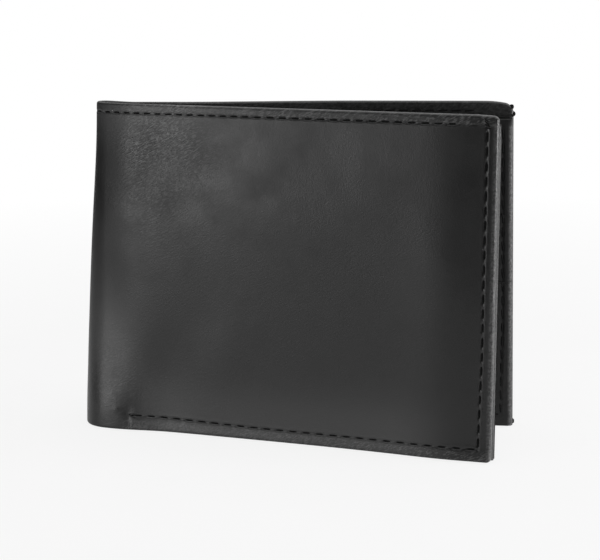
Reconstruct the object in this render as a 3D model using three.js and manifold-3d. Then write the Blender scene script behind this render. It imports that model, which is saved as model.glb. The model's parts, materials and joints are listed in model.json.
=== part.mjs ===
// A leather bifold wallet, standing on its bottom edges with its two halves opened to a narrow V.
// Millimetres and degrees, +Z up. The spine is at -X, the free edges are at +X, the front half faces -Y.
import * as THREE from "three";
import { mergeVertices } from "three/addons/utils/BufferGeometryUtils.js";
import Module from "manifold-3d";

// Overall size and pose
const LEAF_LENGTH = 111; // from the fold line to the free edge of a half
const LEAF_HEIGHT = 88;
const CORNER_RADIUS = 2.5;
const SPINE_WIDTH = 12.6; // outer face to outer face, along the foot of the spine
const SPINE_BULGE = 2.2; // how far the spine arches out past its two folds
const OPENING_ANGLE = 13.4; // between the two halves as the wallet stands
const FRONT_LEAN = 3; // the front half leans back towards the back half

// Leather, cloth and thread
const COVER_LEATHER = 1.0;
const HEM_LEATHER = 0.6; // the cover's own edge, thinned and turned in
const HEM_WIDTH = 8;
const LINING_CLOTH = 0.15;
const DIVIDER_CLOTH = 0.2;
const POCKET_LEATHER = 0.4;
const THREAD = 0.4;
const SEAM_GROOVE_DEPTH = 0.5;

// Room between layers
const LAYER_GAP = 0.1; // layers that lie on each other
const BILL_GAP = 0.3; // mouth of the bill compartment
const CARD_GAP = 0.8; // one card, 0.76 thick
const THREAD_GAP = 0.05; // thread to leather
const FOLD_GAP = 0.3; // the spine's ends to the fold lines
const COVER_START = 0.9; // the cover of a half starts this far from its fold line
const SPINE_EDGE_GAP = 1.1; // the spine's front edge clears the leaning cover by this much at top and foot

// Seams, measured from the edge they follow
const TOP_SEAM_INSET = 2.5;
const TOP_SEAM_STOP = 10; // the top seam ends this far from the free edge
const SIDE_SEAM_INSET = 3.1;
const SIDE_SEAM_TOP_INSET = 3.4;
const BOTTOM_SEAM_INSET = 3.3;
const BOTTOM_SEAM_START = 9.5; // from the fold line
const PANEL_SEAM_INSET = 2.2;

// Inside of each half
const INNER_START = 3; // lining, hems and divider start this far from the fold line
const PANEL_START = 9; // card panel
const SLOT_START = 14; // card slots
const PANEL_EDGE_INSET = 0.6; // pocket leather stays this far inside the free edge
const PANEL_FOOT = 0.8; // and this far above the foot of the cover
const DIVIDER_TOP_INSET = 4;
const PANEL_TOP_INSET = 4.5;
const UPPER_SLOT_TOP = 58;
const UPPER_SLOT_FOOT = 12;
const LOWER_SLOT_TOP = 40;
const SLOT_CORNER = 1.5;
const SPINE_LAYER_TRIM = 10; // the layers inside the spine turn through this much less at each end

const ARCH_STEPS = 12; // flats along the spine's arch
const CORNER_STEPS = 4; // flats round a corner
const CUT = 1; // how far a cutting shape runs past what it cuts

// Depth of each layer below the outer face
const coverDepth = [0, COVER_LEATHER];
const hemDepth = above(coverDepth, LAYER_GAP, HEM_LEATHER);
const liningDepth = above(coverDepth, LAYER_GAP, LINING_CLOTH);
const dividerDepth = above(hemDepth, BILL_GAP, DIVIDER_CLOTH);
const panelDepth = above(dividerDepth, LAYER_GAP, POCKET_LEATHER);
const upperSlotDepth = above(panelDepth, CARD_GAP, POCKET_LEATHER);
const lowerSlotDepth = above(upperSlotDepth, CARD_GAP, POCKET_LEATHER);
const seamDepth = [THREAD_GAP, THREAD_GAP + THREAD];
const grooveDepth = [-CUT, SEAM_GROOVE_DEPTH];
const panelSeamDepth = above(panelDepth, THREAD_GAP, THREAD);

const BLACK_LEATHER = finish(0x1d1d1e, 0.5);
const POCKET_HIDE = finish(0x202021, 0.55);
const LINING = finish(0x151516, 0.85);
const BLACK_THREAD = finish(0x0e0e0f, 0.7);

const wasm = await Module();
wasm.setup();

// The depths of a layer that lies a gap further in than another one.
function above(layer, gap, thickness) {
  return [layer[1] + gap, layer[1] + gap + thickness];
}

function finish(color, roughness) {
  return new THREE.MeshStandardMaterial({ color, roughness, metalness: 0 });
}

function radians(degrees) {
  return THREE.MathUtils.degToRad(degrees);
}

function solidOf(geometry) {
  const bare = geometry.clone();
  bare.deleteAttribute("normal");
  bare.deleteAttribute("uv");
  const merged = mergeVertices(bare);
  return new wasm.Manifold(
    new wasm.Mesh({
      numProp: 3,
      vertProperties: merged.attributes.position.array,
      triVerts: new Uint32Array(merged.index.array),
    }),
  );
}

function geometryOf(solid) {
  const mesh = solid.getMesh();
  const geometry = new THREE.BufferGeometry();
  geometry.setAttribute("position", new THREE.BufferAttribute(mesh.vertProperties, 3));
  geometry.setIndex(new THREE.BufferAttribute(mesh.triVerts, 1));
  geometry.computeVertexNormals();
  return geometry;
}

function cutAway(geometry, ...cutters) {
  let solid = solidOf(geometry);
  for (const cutter of cutters) {
    solid = solid.subtract(solidOf(cutter));
  }
  return geometryOf(solid);
}

function piece(name, geometry, material) {
  const mesh = new THREE.Mesh(geometry, material);
  mesh.name = name;
  return mesh;
}

// A flat outline from u0 to u1 along the leaf and v0 to v1 up it, with round corners on the free side.
function leafOutline(u0, u1, v0, v1, topRadius = 0, footRadius = 0) {
  const shape = new THREE.Shape();
  shape.moveTo(u0, v0);
  shape.lineTo(u1 - footRadius, v0);
  if (footRadius > 0) shape.absarc(u1 - footRadius, v0 + footRadius, footRadius, -Math.PI / 2, 0);
  shape.lineTo(u1, v1 - topRadius);
  if (topRadius > 0) shape.absarc(u1 - topRadius, v1 - topRadius, topRadius, 0, Math.PI / 2);
  shape.lineTo(u0, v1);
  shape.closePath();
  return shape;
}

// The edge seam's outline: down the free side, round the corner and along the foot to its start.
function edgeSeamOutline(width, runOut) {
  const half = width / 2;
  const side = LEAF_LENGTH - SIDE_SEAM_INSET;
  const top = LEAF_HEIGHT - SIDE_SEAM_TOP_INSET + runOut;
  const start = BOTTOM_SEAM_START - runOut;
  const shape = new THREE.Shape();
  shape.moveTo(start, BOTTOM_SEAM_INSET - half);
  shape.lineTo(side + half, BOTTOM_SEAM_INSET - half);
  shape.lineTo(side + half, top);
  shape.lineTo(side - half, top);
  shape.lineTo(side - half, BOTTOM_SEAM_INSET + half);
  shape.lineTo(start, BOTTOM_SEAM_INSET + half);
  shape.closePath();
  return shape;
}

// A band of the given width along a level line of the leaf.
function levelBand(u0, u1, v, width) {
  return leafOutline(u0, u1, v - width / 2, v + width / 2);
}

// Turns an outline into a sheet between two depths below the outer face; inward is +1 towards +Y or -1.
function sheet(outline, [near, far], inward) {
  const geometry = new THREE.ExtrudeGeometry(outline, {
    depth: far - near,
    bevelEnabled: false,
    curveSegments: CORNER_STEPS,
  });
  geometry.rotateX(Math.PI / 2);
  geometry.translate(0, inward > 0 ? far : -near, 0);
  return geometry;
}

// One half of the wallet, standing up from its fold line at x = 0, with its outer face at y = 0.
function half(side, inward) {
  const group = new THREE.Group();
  const add = (name, geometry, material) => group.add(piece(`${name}_${side}`, geometry, material));
  const grooveWidth = THREAD + 2 * THREAD_GAP;
  const freeEdge = LEAF_LENGTH - PANEL_EDGE_INSET;
  const topSeam = LEAF_HEIGHT - TOP_SEAM_INSET;
  const topSeamEnd = LEAF_LENGTH - TOP_SEAM_STOP;
  const panelTop = LEAF_HEIGHT - PANEL_TOP_INSET;

  const cover = leafOutline(COVER_START, LEAF_LENGTH, 0, LEAF_HEIGHT, CORNER_RADIUS, CORNER_RADIUS);
  const topGroove = levelBand(COVER_START - CUT, topSeamEnd + THREAD_GAP, topSeam, grooveWidth);
  const edgeGroove = edgeSeamOutline(grooveWidth, THREAD_GAP);
  add(
    "cover",
    cutAway(
      sheet(cover, coverDepth, inward),
      sheet(topGroove, grooveDepth, inward),
      sheet(edgeGroove, grooveDepth, inward),
    ),
    BLACK_LEATHER,
  );

  const topHemFoot = LEAF_HEIGHT - HEM_WIDTH;
  const topHem = leafOutline(INNER_START, LEAF_LENGTH, topHemFoot, LEAF_HEIGHT, CORNER_RADIUS);
  const footHem = leafOutline(INNER_START, LEAF_LENGTH, 0, HEM_WIDTH, 0, CORNER_RADIUS);
  const sideHem = leafOutline(
    LEAF_LENGTH - HEM_WIDTH,
    LEAF_LENGTH,
    HEM_WIDTH + LAYER_GAP,
    topHemFoot - LAYER_GAP,
  );
  add("hem_top", sheet(topHem, hemDepth, inward), BLACK_LEATHER);
  add("hem_side", sheet(sideHem, hemDepth, inward), BLACK_LEATHER);
  add("hem_foot", sheet(footHem, hemDepth, inward), BLACK_LEATHER);

  const lining = leafOutline(
    INNER_START,
    LEAF_LENGTH - HEM_WIDTH - LAYER_GAP,
    HEM_WIDTH + LAYER_GAP,
    topHemFoot - LAYER_GAP,
  );
  add("bill_lining", sheet(lining, liningDepth, inward), LINING);

  const divider = leafOutline(INNER_START, freeEdge, PANEL_FOOT, LEAF_HEIGHT - DIVIDER_TOP_INSET);
  add("bill_divider", sheet(divider, dividerDepth, inward), LINING);

  const panel = leafOutline(PANEL_START, freeEdge, PANEL_FOOT, panelTop, SLOT_CORNER, SLOT_CORNER);
  const upper = leafOutline(SLOT_START, freeEdge, UPPER_SLOT_FOOT, UPPER_SLOT_TOP);
  const lower = leafOutline(SLOT_START, freeEdge, PANEL_FOOT, LOWER_SLOT_TOP, 0, SLOT_CORNER);
  add("card_panel", sheet(panel, panelDepth, inward), POCKET_HIDE);
  add("card_slot_upper", sheet(upper, upperSlotDepth, inward), POCKET_HIDE);
  add("card_slot_lower", sheet(lower, lowerSlotDepth, inward), POCKET_HIDE);

  const topThread = levelBand(COVER_START, topSeamEnd, topSeam, THREAD);
  const panelThread = levelBand(
    PANEL_START + PANEL_SEAM_INSET,
    LEAF_LENGTH - SIDE_SEAM_INSET,
    panelTop - PANEL_SEAM_INSET,
    THREAD,
  );
  add("thread_top_seam", sheet(topThread, seamDepth, inward), BLACK_THREAD);
  add("thread_edge_seam", sheet(edgeSeamOutline(THREAD, 0), seamDepth, inward), BLACK_THREAD);
  add("thread_panel_seam", sheet(panelThread, panelSeamDepth, inward), BLACK_THREAD);
  return group;
}

// The arched spine between two upright folds that stand a chord apart along -Y, arching out to -X.
// Its front edge follows the lean of the front half: narrower by the taper at its top, wider at its foot.
function spine(chord, taper) {
  const group = new THREE.Group();
  const add = (name, geometry, material) => group.add(piece(`${name}_spine`, geometry, material));
  const halfChord = chord / 2 - FOLD_GAP;
  const radius = (halfChord ** 2 + SPINE_BULGE ** 2) / (2 * SPINE_BULGE);
  const reach = Math.asin(halfChord / radius);
  const centre = new THREE.Vector2(radius - SPINE_BULGE, -chord / 2);

  // A curved sheet between two depths below the outer face, from one height to another.
  const arch = ([near, far], foot, top, span = reach) => {
    const shape = new THREE.Shape();
    shape.absarc(centre.x, centre.y, radius - near, Math.PI - span, Math.PI + span);
    shape.absarc(centre.x, centre.y, radius - far, Math.PI + span, Math.PI - span, true);
    shape.closePath();
    const geometry = new THREE.ExtrudeGeometry(shape, {
      depth: top - foot,
      bevelEnabled: false,
      curveSegments: ARCH_STEPS,
    });
    geometry.translate(0, 0, foot);
    const points = geometry.getAttribute("position");
    for (let i = 0; i < points.count; i++) {
      const rise = points.getZ(i) / (LEAF_HEIGHT / 2) - 1;
      points.setY(i, points.getY(i) * (1 - (taper / chord) * rise));
    }
    return geometry;
  };

  const seam = LEAF_HEIGHT - TOP_SEAM_INSET;
  const halfThread = THREAD / 2;
  const halfGroove = halfThread + THREAD_GAP;
  const hemTopFoot = LEAF_HEIGHT - HEM_WIDTH;
  const groove = arch(grooveDepth, seam - halfGroove, seam + halfGroove, reach + radians(SPINE_LAYER_TRIM));
  const inner = reach - radians(SPINE_LAYER_TRIM);
  add("cover", cutAway(arch(coverDepth, 0, LEAF_HEIGHT), groove), BLACK_LEATHER);
  add("hem_top", arch(hemDepth, hemTopFoot, LEAF_HEIGHT, inner), BLACK_LEATHER);
  add("hem_foot", arch(hemDepth, 0, HEM_WIDTH, inner), BLACK_LEATHER);
  add("bill_lining", arch(liningDepth, HEM_WIDTH + LAYER_GAP, hemTopFoot - LAYER_GAP, inner), LINING);
  add("bill_divider", arch(dividerDepth, PANEL_FOOT, LEAF_HEIGHT - DIVIDER_TOP_INSET, inner), LINING);
  add("thread_top_seam", arch(seamDepth, seam - halfThread, seam + halfThread), BLACK_THREAD);
  return group;
}

const opening = radians(OPENING_ANGLE);
const lean = radians(FRONT_LEAN);
const assembly = new THREE.Group();

// The back half stands upright along +X, and its fold line is the assembly's own Z axis.
assembly.add(half("back", -1));

// The front half stands on its foot a spine's width away, turned by the opening and leaning back.
const frontHalf = half("front", 1);
frontHalf.rotation.x = -lean;
frontHalf.position.z = hemDepth[1] * Math.sin(lean);
const frontStand = new THREE.Group();
frontStand.add(frontHalf);
frontStand.rotation.z = -opening;
frontStand.position.set(-SPINE_WIDTH * Math.sin(opening / 2), -SPINE_WIDTH * Math.cos(opening / 2), 0);
assembly.add(frontStand);

// The front fold stands upright where the front half's fold edge is at half its height.
const setBack = (LEAF_HEIGHT / 2) * Math.sin(lean);
const frontFold = new THREE.Vector3(0, setBack, 0).applyEuler(frontStand.rotation).add(frontStand.position);
const spineStrip = spine(frontFold.length(), setBack - SPINE_EDGE_GAP);
spineStrip.rotation.z = Math.atan2(frontFold.x, -frontFold.y);
assembly.add(spineStrip);

// The origin is the middle of the wallet's footprint, at the level it stands on.
const wallet = new THREE.Group();
wallet.add(assembly);
wallet.updateMatrixWorld(true);
const box = new THREE.Box3().setFromObject(wallet, true);
const middle = box.getCenter(new THREE.Vector3());
assembly.position.set(-middle.x, -middle.y, -box.min.z);
wallet.updateMatrixWorld(true);

export default wallet;
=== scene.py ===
"""A black leather bifold wallet, standing half open: hide, pockets, cloth and stitching in a plain studio."""
import json
import logging
import math
from dataclasses import dataclass, field
from enum import Enum
from typing import Any, Callable, Iterable

import bpy
import numpy as np
from mathutils import Matrix, Vector


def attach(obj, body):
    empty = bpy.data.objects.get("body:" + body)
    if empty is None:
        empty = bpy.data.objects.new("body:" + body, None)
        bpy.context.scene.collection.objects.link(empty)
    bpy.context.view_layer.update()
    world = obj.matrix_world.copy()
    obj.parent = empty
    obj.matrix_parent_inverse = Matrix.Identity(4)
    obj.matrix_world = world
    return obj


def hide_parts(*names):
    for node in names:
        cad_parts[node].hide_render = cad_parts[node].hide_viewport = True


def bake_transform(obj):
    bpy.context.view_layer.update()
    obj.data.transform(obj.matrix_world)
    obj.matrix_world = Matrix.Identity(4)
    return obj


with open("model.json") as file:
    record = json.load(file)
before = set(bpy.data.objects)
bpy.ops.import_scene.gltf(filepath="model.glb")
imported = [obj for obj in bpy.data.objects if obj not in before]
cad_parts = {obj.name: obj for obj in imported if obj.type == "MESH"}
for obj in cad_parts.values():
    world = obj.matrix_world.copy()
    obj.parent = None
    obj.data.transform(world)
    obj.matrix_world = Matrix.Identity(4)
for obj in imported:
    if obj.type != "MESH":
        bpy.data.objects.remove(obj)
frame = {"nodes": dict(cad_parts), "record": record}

LOG = logging.getLogger("wallet")
MM = 0.001
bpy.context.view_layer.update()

Array = np.ndarray
Triple = tuple[float, float, float]
DepthField = Callable[[Array, Array], Array]
Material = bpy.types.Material
Node = bpy.types.Node
Socket = bpy.types.NodeSocket


class Half(Enum):
    """The two halves of the wallet; each is a body of the frame."""
    BACK = "back"
    FRONT = "front"

    @property
    def body(self) -> str:
        """Name of the body that this half rides on."""
        return f"{self.value}_half"

    @property
    def fold_end(self) -> float:
        """Place on the fold's curve where it meets this half."""
        return 0.0 if self is Half.FRONT else 1.0

    def nodes(self, own: Iterable[str], shared: Iterable[str]) -> list[str]:
        """Nodes that a piece of this half stands for.

        Args:
            own: parts of the half.
            shared: parts of the spine, which the front half's piece stands for.

        Returns:
            The nodes' names.
        """
        names = [f"{part}_{self.value}" for part in own]
        if self is Half.FRONT:
            names += [f"{part}_spine" for part in shared]
        return names


class Slot(Enum):
    """Finish slots that the record names."""
    COVER = "cover_leather"
    POCKET = "pocket_leather"
    LINING = "lining_cloth"
    DIVIDER = "divider_cloth"
    THREAD = "thread"


class Course(Enum):
    """Which way a seam runs on its half."""
    ALONG = "along"
    UP = "up"


class Side(Enum):
    """Side of a half that a row of stitches shows on."""
    OUTER = "outer"
    INNER = "inner"

    @property
    def facing(self) -> float:
        """1 on the outer side, -1 on the inner one."""
        return 1.0 if self is Side.OUTER else -1.0


def smooth(x: Array | float) -> Array:
    """Ease from 0 to 1 without a kink at either end."""
    x = np.clip(x, 0.0, 1.0)
    return x * x * (3.0 - 2.0 * x)


def hump(x: Array, width: float) -> Array:
    """A soft rise of height 1 about x = 0."""
    return np.exp(-(x / width) ** 2)


def bow(x: Array) -> Array:
    """A broad arch from 0 at x = 0 and x = 1 to 1 between them."""
    return 1.0 - np.abs(2.0 * np.clip(x, 0.0, 1.0) - 1.0) ** 3


def stretch(x: Array, start: float, rise: float, end: float, fall: float) -> Array:
    """Ease in from a start over a rise, and out again from an end over a fall."""
    return smooth((x - start) / rise) * (1.0 - smooth((x - end) / fall))


def unit(vectors: Array) -> Array:
    """Vectors brought to length 1."""
    return vectors / np.linalg.norm(vectors, axis=-1, keepdims=True)


def path_lengths(points: Array) -> Array:
    """Length of a path up to each of its points."""
    return np.concatenate([[0.0], np.cumsum(np.linalg.norm(np.diff(points, axis=0), axis=1))])


def run(*stops: tuple[float, float]) -> Array:
    """Rising values with a chosen spacing between stops.

    Args:
        stops: pairs of a value and the spacing that holds from it to the next one.

    Returns:
        All values, the first and the last stop included.
    """
    values = [stops[0][0]]
    for (a, step), (b, _) in zip(stops, stops[1:]):
        count = max(1, round((b - a) / step))
        values.extend(np.linspace(a, b, count + 1)[1:])
    return np.array(values)


def per_half(front: float, back: float) -> Any:
    """A dataclass field with one value for each half."""
    return field(default_factory=lambda: {Half.FRONT: front, Half.BACK: back})


def linked(name: str, data: bpy.types.ID) -> bpy.types.Object:
    """A new object in the scene that shows some data."""
    item = bpy.data.objects.new(name, data)
    bpy.context.scene.collection.objects.link(item)
    return item


@dataclass(frozen=True)
class Solid:
    """One closed piece: its points in millimetres, its faces, and each point's named shares of the finish."""
    points: Array
    faces: list[tuple[int, ...]]
    marks: dict[str, Array] = field(default_factory=dict)

    def volume(self) -> float:
        """Signed volume, negative when the faces point inwards."""
        corners = [(f[0], f[k], f[k + 1]) for f in self.faces for k in range(1, len(f) - 1)]
        a, b, c = (self.points[column] for column in np.array(corners).T)
        return float(np.einsum("ij,ij->i", a, np.cross(b, c)).sum() / 6.0)

    def make(self, name: str, material: Material, slot: Slot) -> bpy.types.Object:
        """Turn the faces outwards and make the named mesh object.

        Args:
            name: name of the piece.
            material: its material.
            slot: a finish slot of the record; not used.

        Returns:
            The new object, at the origin, in metres.
        """
        faces = self.faces if self.volume() > 0 else [tuple(reversed(f)) for f in self.faces]
        mesh = bpy.data.meshes.new(name)
        mesh.from_pydata((self.points * MM).tolist(), [], faces)
        mesh.polygons.foreach_set("use_smooth", [len(f) == 4 for f in faces])
        for label, values in self.marks.items():
            layer = mesh.attributes.new(label, "FLOAT", "POINT")
            layer.data.foreach_set("value", values.reshape(-1).astype(np.float32))
        mesh.materials.append(material)
        mesh.update()
        piece = linked(name, mesh)
        LOG.info("%s: %d points, %d faces", name, len(self.points), len(faces))
        return piece


def ring_solid(rings: Array, **marks: Array) -> Solid:
    """Join closed rings into a solid with a flat cap at either end.

    Args:
        rings: points of every ring, stations by ring points by 3.
        marks: named shares for the finish, each stations by ring points.

    Returns:
        The closed solid.
    """
    stations, around, _ = rings.shape
    i = np.arange(stations - 1)[:, None] * around
    j = np.arange(around)[None, :]
    following = (j + 1) % around
    quads = np.stack([i + j, i + following, i + around + following, i + around + j], -1).reshape(-1, 4)
    faces = [tuple(q) for q in quads.tolist()]
    faces.append(tuple(range(around - 1, -1, -1)))
    faces.append(tuple(range((stations - 1) * around, stations * around)))
    return Solid(rings.reshape(-1, 3), faces, marks)


def slab_solid(inner: Array, outer: Array, rim: Array | None = None) -> Solid:
    """Close two matching grids of points into a thin solid with walls all round.

    Args:
        inner: grid of the side that faces the opening, rows by columns by 3.
        outer: grid of the side that faces the cover, of the same shape.
        rim: nearness to a cut edge on the grid.

    Returns:
        The closed solid.
    """
    rows, columns, _ = inner.shape
    index = np.arange(rows * columns).reshape(rows, columns)
    a, b, c, d = index[:-1, :-1], index[:-1, 1:], index[1:, 1:], index[1:, :-1]
    face = np.stack([a, b, c, d], -1).reshape(-1, 4)
    below = face[:, ::-1] + rows * columns
    loop = np.concatenate([index[0, :-1], index[:-1, -1], index[-1, :0:-1], index[:0:-1, 0]])
    onward = np.roll(loop, -1)
    wall = np.stack([onward, loop, loop + rows * columns, onward + rows * columns], -1)
    faces = [tuple(q) for q in np.concatenate([face, below, wall]).tolist()]
    points = np.concatenate([inner.reshape(-1, 3), outer.reshape(-1, 3)])
    marks = {} if rim is None else {"rim": np.concatenate([rim.reshape(-1), rim.reshape(-1)])}
    return Solid(points, faces, marks)


@dataclass(frozen=True)
class Leaf:
    """Where one half stands: the foot of its fold line and its three directions, in millimetres."""
    origin: Array
    along: Array
    up: Array
    inward: Array
    skew: float = 0.0
    length: float = 111.0
    height: float = 88.0

    @classmethod
    def from_frame(cls, half: Half, cover_start: float, skew: float) -> "Leaf":
        """Read the half's place from its face mount and its cover in the frame.

        Args:
            half: which half.
            cover_start: distance of the solid cover's near edge from the fold line.
            skew: how much longer the half is along its foot than along its top.

        Returns:
            The half's place.
        """
        mount = next(m for m in frame["record"]["mounts"] if m["name"] == f"{half.value}_face")
        inward = -np.array(mount["axis"], dtype=float)
        inward /= np.linalg.norm(inward)
        along = np.array([inward[1], -inward[0], 0.0])
        along *= np.sign(along[0]) / np.linalg.norm(along)
        up = np.cross(along, inward)
        up *= np.sign(up[2])
        cover = frame["nodes"][f"cover_{half.value}"]
        points = np.array([cover.matrix_world @ v.co for v in cover.data.vertices]) / MM
        near, foot, face = (float((points @ axis).min()) for axis in (along, up, inward))
        origin = (near - cover_start) * along + foot * up + face * inward
        return cls(origin, along, up, inward, skew)

    def place(self, u: Array, v: Array, depth: Array | float) -> Array:
        """Point at u along the half, v up it and a depth inwards from its outer face."""
        u, v, depth = np.broadcast_arrays(u, v, depth)
        u = u + self.skew * u / self.length * (1.0 - v / self.height)
        on_face = self.origin + u[..., None] * self.along + v[..., None] * self.up
        return on_face + depth[..., None] * self.inward


@dataclass(frozen=True)
class Spot:
    """A soft oval spot of a half: a hollow or swelling of its face, or a share of its finish."""
    u: float
    v: float
    wide: float
    tall: float
    strength: float
    turn: float = 0.0

    def at(self, u: Array, v: Array) -> Array:
        """Strength at places of the half; a hollow is positive and a swelling negative."""
        c, s = math.cos(math.radians(self.turn)), math.sin(math.radians(self.turn))
        across = c * (u - self.u) - s * (v - self.v)
        along = s * (u - self.u) + c * (v - self.v)
        return self.strength * hump(across, self.wide) * hump(along, self.tall)


# Soft waves of a leaf: length along it, length up it and share of the half's phase.
WAVES = ((9.0, 17.0, 1.0), (15.0, -8.0, 2.0), (31.0, 6.0, 0.0))
# Step on a leaf that shows which way it heads into the fold.
HEADING_STEP = 0.2
# Share of the handles' length that the middle of a cubic curve reaches.
CURVE_MIDDLE = 0.75


@dataclass(frozen=True)
class FoldedShape:
    """The broad shape of the folded hide: two soft leaves and the rounded fold between them."""
    leaves: dict[Half, Leaf]
    length: float = Leaf.length
    height: float = Leaf.height
    join: float = 3.0
    strip: float = 10.2
    strip_soft: float = 2.2
    strip_slope: float = 0.25
    strip_foot_slope: float = 0.04
    strip_foot: float = 14.0
    strip_full: float = 78.0
    draw_in: float = 1.5
    draw_start: float = 56.0
    draw_reach: float = 26.0
    draw_soft: float = 6.0
    pinch: dict[Half, float] = per_half(front=1.0, back=0.3)
    crown: float = 0.7
    wave: float = 0.06
    wave_phase: dict[Half, float] = per_half(front=1.3, back=4.1)
    bulge_top: float = 1.1
    bulge_foot: float = 4.15
    bulge_reach: float = 1.25
    foot_swell: float = 2.0
    foot_swell_tall: float = 46.0
    foot_swell_near: float = 3.0
    foot_swell_far: float = 22.0
    stack_start: float = 12.0
    stack_reach: float = 16.0
    dimples: dict[Half, tuple[Spot, ...]] = field(default_factory=dict)
    broad: dict[Half, tuple[Spot, ...]] = field(default_factory=dict)

    def broad_at(self, half: Half, u: Array, v: Array) -> Array:
        """Inward shift that the hide and the pockets of a half share."""
        level = np.zeros(np.broadcast(u, v).shape)
        return sum((spot.at(u, v) for spot in self.broad.get(half, ())), level)

    def stack_at(self, u: Array) -> Array:
        """Share of their full depth that the layers have; they are thinner beside the fold."""
        return smooth((u - self.stack_start) / self.stack_reach)

    def draw_at(self, u: Array, v: Array) -> Array:
        """How far a leaf draws in beside the fold, which is pressed flat towards its top."""
        rise = smooth((v - self.draw_start) / (self.height - self.draw_start))
        past = np.maximum(u - self.strip, 0.0)
        far = np.exp(-past ** 2 / (self.draw_reach * (past + self.draw_soft)))
        return rise * self.draw_in * far

    def foot_swell_at(self, u: Array, v: Array) -> Array:
        """How far the hide stands out beside the foot of the fold."""
        low = np.clip(1.0 - v / self.foot_swell_tall, 0.0, 1.0) ** 2
        past = smooth((u - self.foot_swell_near) / (self.foot_swell_far - self.foot_swell_near))
        return self.foot_swell * low * (1.0 - past)

    def strip_at(self, u: Array, v: Array) -> Array:
        """How far the unlined strip beside the fold slopes away from the leaf."""
        rise = smooth((v - self.strip_foot) / (self.strip_full - self.strip_foot))
        slope = self.strip_foot_slope + (self.strip_slope - self.strip_foot_slope) * rise
        return slope * self.strip_soft * np.logaddexp(0.0, (self.strip - u) / self.strip_soft)

    def sink(self, half: Half, u: Array, v: Array) -> Array:
        """Inward shift of the outer face at a spot of one half."""
        crown = self.crown * np.sin(np.pi * np.clip(u / self.length, 0, 1))
        crown = crown * np.sin(np.pi * np.clip(v / self.height, 0, 1))
        phase = self.wave_phase[half]
        waves = sum(np.sin(u / along + v / up + share * phase) for along, up, share in WAVES)
        pinch = self.pinch[half] * (self.draw_at(u, v) + self.strip_at(u, v))
        total = pinch - crown + self.wave * waves + self.broad_at(half, u, v)
        total = total - self.foot_swell_at(u, v)
        for dimple in self.dimples.get(half, ()):
            total = total + dimple.at(u, v)
        return total

    def leaf_point(self, half: Half, u: Array, v: Array, depth: Array | float) -> Array:
        """Point at a depth below the soft outer face of a leaf."""
        return self.leaves[half].place(u, v, self.sink(half, u, v) + depth)

    def bulge(self, v: Array) -> Array:
        """How far the fold swells past the fold lines at a height."""
        low = smooth(self.bulge_reach * (1.0 - v / self.height))
        return self.bulge_top + (self.bulge_foot - self.bulge_top) * low

    def fold(self, t: Array, v: Array, join: float, depth: float,
             bulge: Array) -> tuple[Array, Array]:
        """Curve round the fold from the front leaf (t = 0) to the back leaf (t = 1).

        Args:
            t: place along the curve.
            v: height.
            join: where on the leaves the curve starts and ends.
            depth: depth below the outer faces at those ends.
            bulge: how far the curve's middle swells past the fold lines.

        Returns:
            Points of the curve and its inward directions.
        """
        t, v = np.broadcast_arrays(t, v)
        bulge = np.broadcast_to(bulge, t.shape)
        ends = []
        for half in (Half.FRONT, Half.BACK):
            near = self.leaf_point(half, np.full(t.shape, join), v, depth)
            past = self.leaf_point(half, np.full(t.shape, join + HEADING_STEP), v, depth)
            ends.append((near, unit(near - past)))
        reach = ((bulge + join) / CURVE_MIDDLE)[..., None]
        (a, go), (d, come) = ends
        b, c = a + reach * go, d + reach * come
        s = t[..., None]
        points = (1 - s) ** 3 * a + 3 * (1 - s) ** 2 * s * b + 3 * (1 - s) * s * s * c + s ** 3 * d
        slope = (1 - s) ** 2 * (b - a) + 2 * (1 - s) * s * (c - b) + s * s * (d - c)
        lean = (1 - t) * self.leaves[Half.FRONT].inward[2] + t * self.leaves[Half.BACK].inward[2]
        inward = unit(np.stack([slope[..., 1], -slope[..., 0], np.zeros_like(t)], -1))
        inward[..., 2] = lean
        return points, unit(inward)

    def outer_fold(self, t: Array, v: Array) -> tuple[Array, Array]:
        """Points and inward directions of the hide's outer face round the fold."""
        return self.fold(t, v, self.join, 0.0, self.bulge(v))

    def middle(self, v: Array) -> Array:
        """Line down the middle of the fold, where the two skins meet."""
        return self.outer_fold(np.full_like(v, 0.5), v)[0]


# Fine steps of the fold's curve for each station, when its length is measured.
FINE_STEPS = 40


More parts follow.
